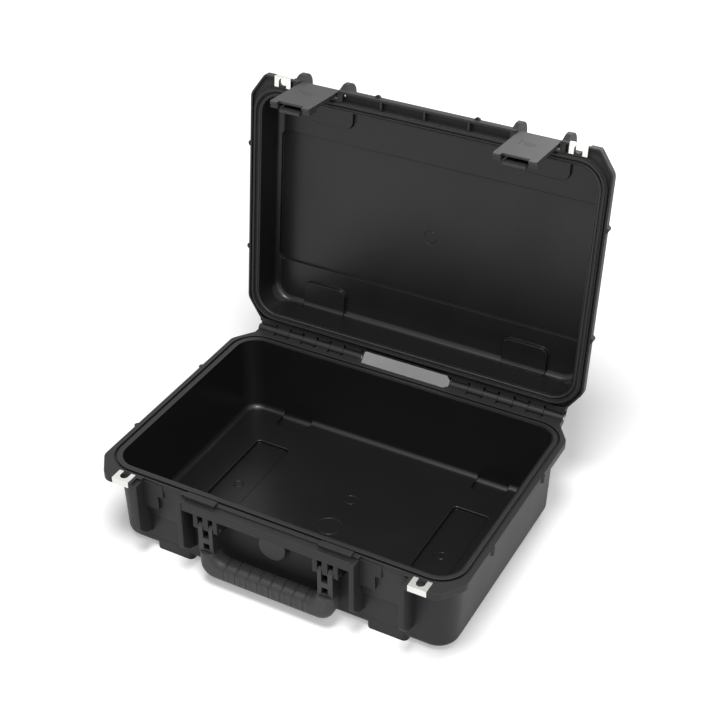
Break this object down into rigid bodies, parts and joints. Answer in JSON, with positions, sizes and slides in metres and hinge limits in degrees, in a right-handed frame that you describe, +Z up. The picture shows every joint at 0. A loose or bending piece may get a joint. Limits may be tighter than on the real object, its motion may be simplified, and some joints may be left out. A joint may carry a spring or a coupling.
{
  "type": "waterproof utility case",
  "caption": "Moulded hand-carry waterproof case, lid open on pinned hinges, with gasketed rim, sprung-trigger latches, folding handle, pressure valve and padlock plates",
  "frame": {"origin": "on the ground under the middle of the opening", "axes": "+X to the right seen from the front, +Y to the hinge side, +Z up"},
  "size_m": [0.4776, 0.4336, 0.4645],
  "materials": {
    "shell_plastic": "fine matte texture",
    "latch_plastic": "satin",
    "handle_plastic": "satin",
    "grip_rubber": "soft matte",
    "seal_rubber": "smooth",
    "pin_steel": "drawn",
    "spring_steel": "drawn",
    "plate_steel": "bright rolled",
    "valve_plastic": "satin",
    "membrane": "plain"
  },
  "bodies": {
    "base": {"base_shell": "shell_plastic", "valve_seal": "seal_rubber", "hinge_pin_left": "pin_steel", "hinge_pin_right": "pin_steel", "handle_pin_left": "pin_steel", "handle_pin_right": "pin_steel", "padlock_plate_base_left": "plate_steel", "padlock_plate_base_right": "plate_steel", "valve_body": "valve_plastic", "valve_nut": "valve_plastic", "valve_membrane": "membrane"},
    "lid": {"lid_shell": "shell_plastic", "lid_gasket": "seal_rubber", "latch_pin_left": "pin_steel", "latch_pin_right": "pin_steel", "padlock_plate_lid_left": "plate_steel", "padlock_plate_lid_right": "plate_steel"},
    "latch_left": {"latch_left": "latch_plastic", "trigger_pin_left": "pin_steel", "trigger_spring_left": "spring_steel"},
    "trigger_left": {"trigger_left": "latch_plastic"},
    "latch_right": {"latch_right": "latch_plastic", "trigger_pin_right": "pin_steel", "trigger_spring_right": "spring_steel"},
    "trigger_right": {"trigger_right": "latch_plastic"},
    "handle": {"handle_frame": "handle_plastic", "handle_grip": "grip_rubber"}
  },
  "joints": [
    {"name": "lid_hinge", "type": "hinge", "parent": "base", "child": "lid", "pos_m": [0, 0.1756, 0.1146], "axis": [1, 0, 0], "range_deg": [0, 95.8]},
    {"name": "latch_left_swing", "type": "hinge", "parent": "lid", "child": "latch_left", "pos_m": [-0.14248, 0.21853, 0.4541], "axis": [-1, 0, 0], "range_deg": [-3.2, 95]},
    {"name": "trigger_left_release", "type": "hinge", "parent": "latch_left", "child": "trigger_left", "pos_m": [-0.14248, 0.18949, 0.45478], "axis": [-1, 0, 0], "range_deg": [0, 6.6], "stiffness_Nm_per_rad": 0.05, "springref_deg": -11.46, "deforming": ["trigger_spring_left"]},
    {"name": "latch_right_swing", "type": "hinge", "parent": "lid", "child": "latch_right", "pos_m": [0.14248, 0.21853, 0.4541], "axis": [-1, 0, 0], "range_deg": [-3.2, 95]},
    {"name": "trigger_right_release", "type": "hinge", "parent": "latch_right", "child": "trigger_right", "pos_m": [0.14248, 0.18949, 0.45478], "axis": [-1, 0, 0], "range_deg": [0, 6.6], "stiffness_Nm_per_rad": 0.05, "springref_deg": -11.46, "deforming": ["trigger_spring_right"]},
    {"name": "handle_swing", "type": "hinge", "parent": "base", "child": "handle", "pos_m": [0, -0.1675, 0.083], "axis": [-1, 0, 0], "range_deg": [0, 95]}
  ]
}
